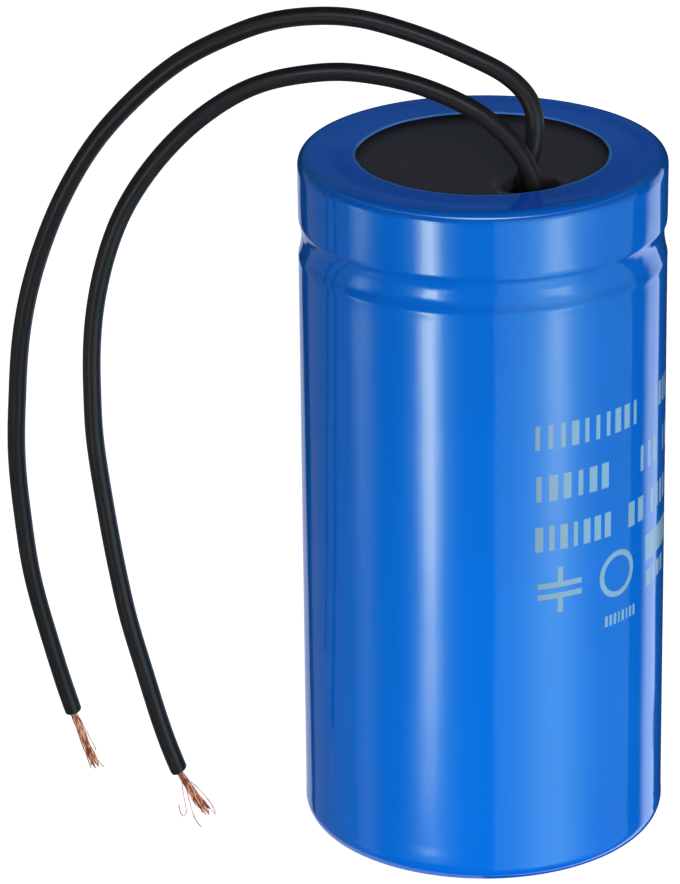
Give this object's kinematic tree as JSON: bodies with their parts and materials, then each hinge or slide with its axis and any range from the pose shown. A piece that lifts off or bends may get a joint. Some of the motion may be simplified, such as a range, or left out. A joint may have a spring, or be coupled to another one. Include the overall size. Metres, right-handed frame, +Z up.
{
  "type": "motor start capacitor",
  "caption": "Round motor start capacitor in a printed shrink sleeve, with a recessed black cover plate and two stranded leads out of one off-centre hole.",
  "frame": {"origin": "middle of the underside, on the surface that the can stands on", "axes": "+Z up along the can's axis, towards the cover plate; the leads come down on the -X side; the lead hole is off the axis towards +X and -Y"},
  "size_m": [0.092, 0.0504, 0.1207],
  "materials": {
    "sleeve_film": "glossy blue printed shrink film",
    "can_aluminium": "drawn, satin",
    "seal_rubber": "matte",
    "board_phenolic": "brown phenolic laminate",
    "vent_rubber": "matte",
    "rivet_aluminium": "turned",
    "washer_steel": "zinc plated",
    "lug_tinned_brass": "tinned",
    "solder": "bright solder",
    "copper": "bare copper strands",
    "cover_plastic": "black, fine moulded grain",
    "lead_insulation": "black satin insulation"
  },
  "bodies": {
    "root": {"sleeve": "sleeve_film", "can": "can_aluminium", "seal_rubber": "seal_rubber", "terminal_board": "board_phenolic", "vent_plug": "vent_rubber", "rivet_a": "rivet_aluminium", "rivet_b": "rivet_aluminium", "washer_a": "washer_steel", "washer_b": "washer_steel", "lug_a": "lug_tinned_brass", "lug_b": "lug_tinned_brass", "solder_a": "solder", "solder_b": "solder", "core_a": "copper", "core_b": "copper", "cover_plate": "cover_plastic", "lead_a": "lead_insulation", "lead_b": "lead_insulation", "strands_a": "copper", "strands_b": "copper"}
  },
  "joints": []
}
